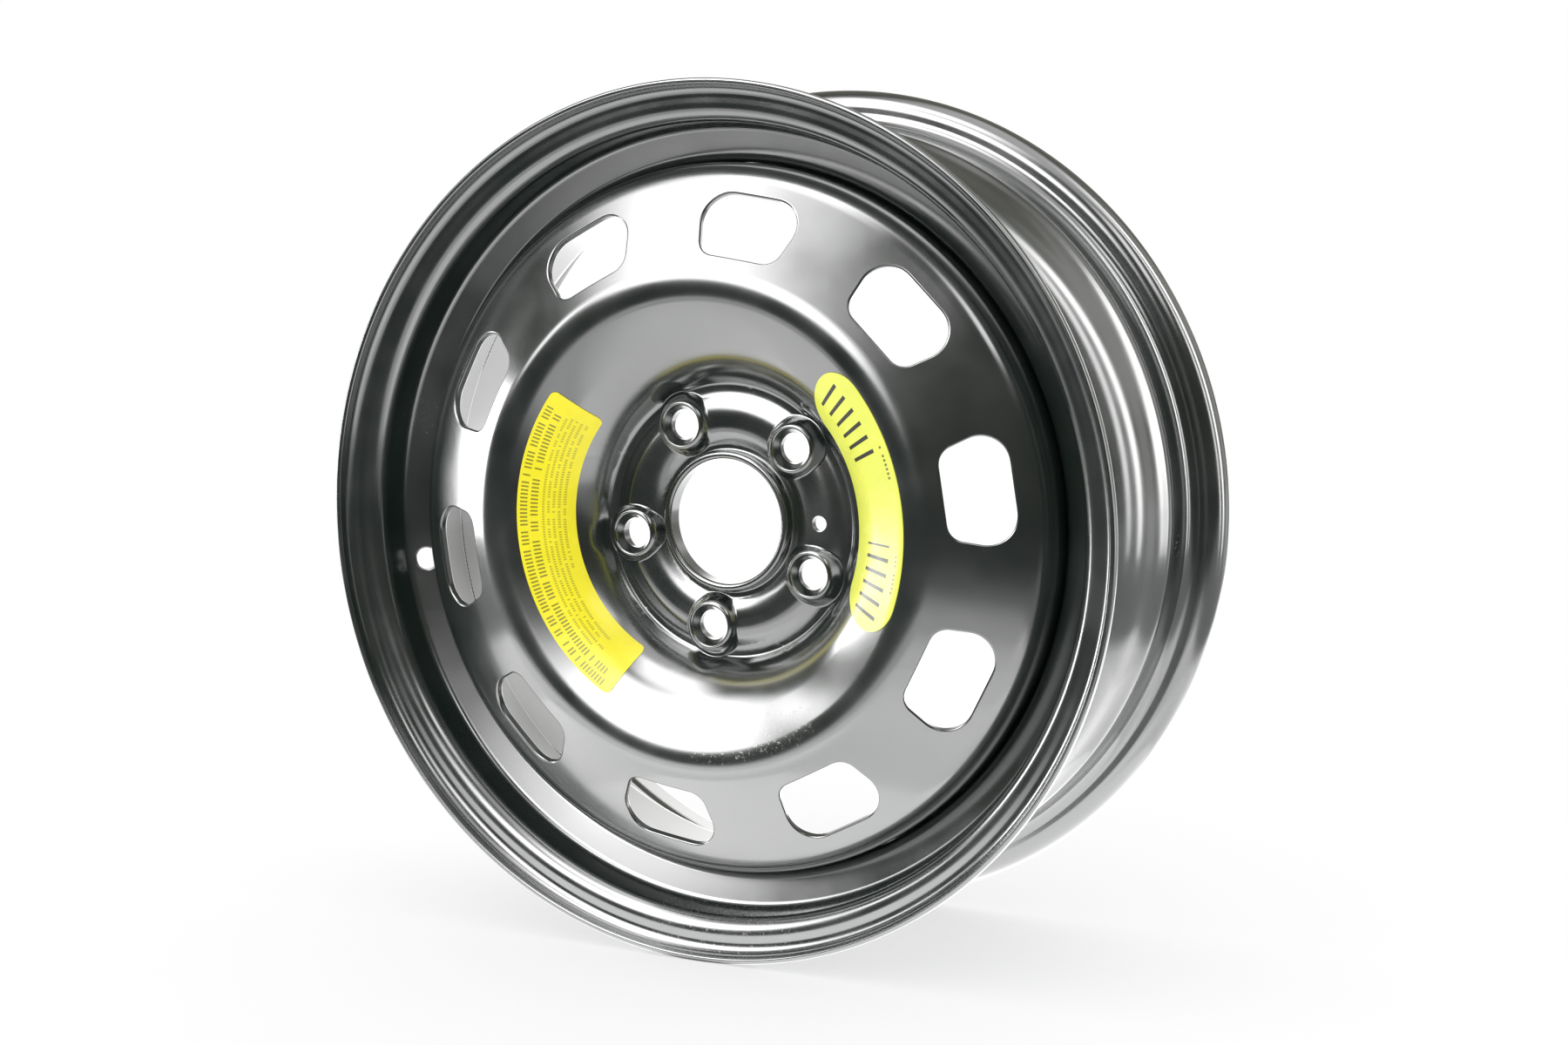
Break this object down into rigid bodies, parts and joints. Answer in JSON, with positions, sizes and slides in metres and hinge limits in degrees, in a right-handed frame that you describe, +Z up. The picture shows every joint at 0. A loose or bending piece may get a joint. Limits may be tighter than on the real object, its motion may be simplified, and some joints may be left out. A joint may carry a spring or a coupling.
{
  "type": "car wheel",
  "caption": "Pressed-steel car wheel without a tyre: rolled drop-centre rim, welded dished disc with vents, raised conical bolt seats, a centre bore and stickers on the nave.",
  "frame": {"origin": "centre of the hub face, where the bore meets the plane in which the wheel seats on the hub", "axes": "+Y along the axle towards the vehicle, -Y towards the street, +Z up, +X to the right as seen from the street"},
  "size_m": [0.4402, 0.1666, 0.44],
  "materials": {
    "rim_paint": "gloss black paint over rolled steel",
    "disc_paint": "gloss black paint over pressed steel",
    "weld_paint": "black paint over rippled weld metal",
    "pale_sticker": "glossy lemon-yellow film",
    "deep_sticker": "glossy deep-yellow film"
  },
  "bodies": {
    "root": {"rim": "rim_paint", "disc": "disc_paint", "weld_beads": "weld_paint", "right_sticker": "pale_sticker", "left_sticker": "deep_sticker"}
  },
  "joints": []
}
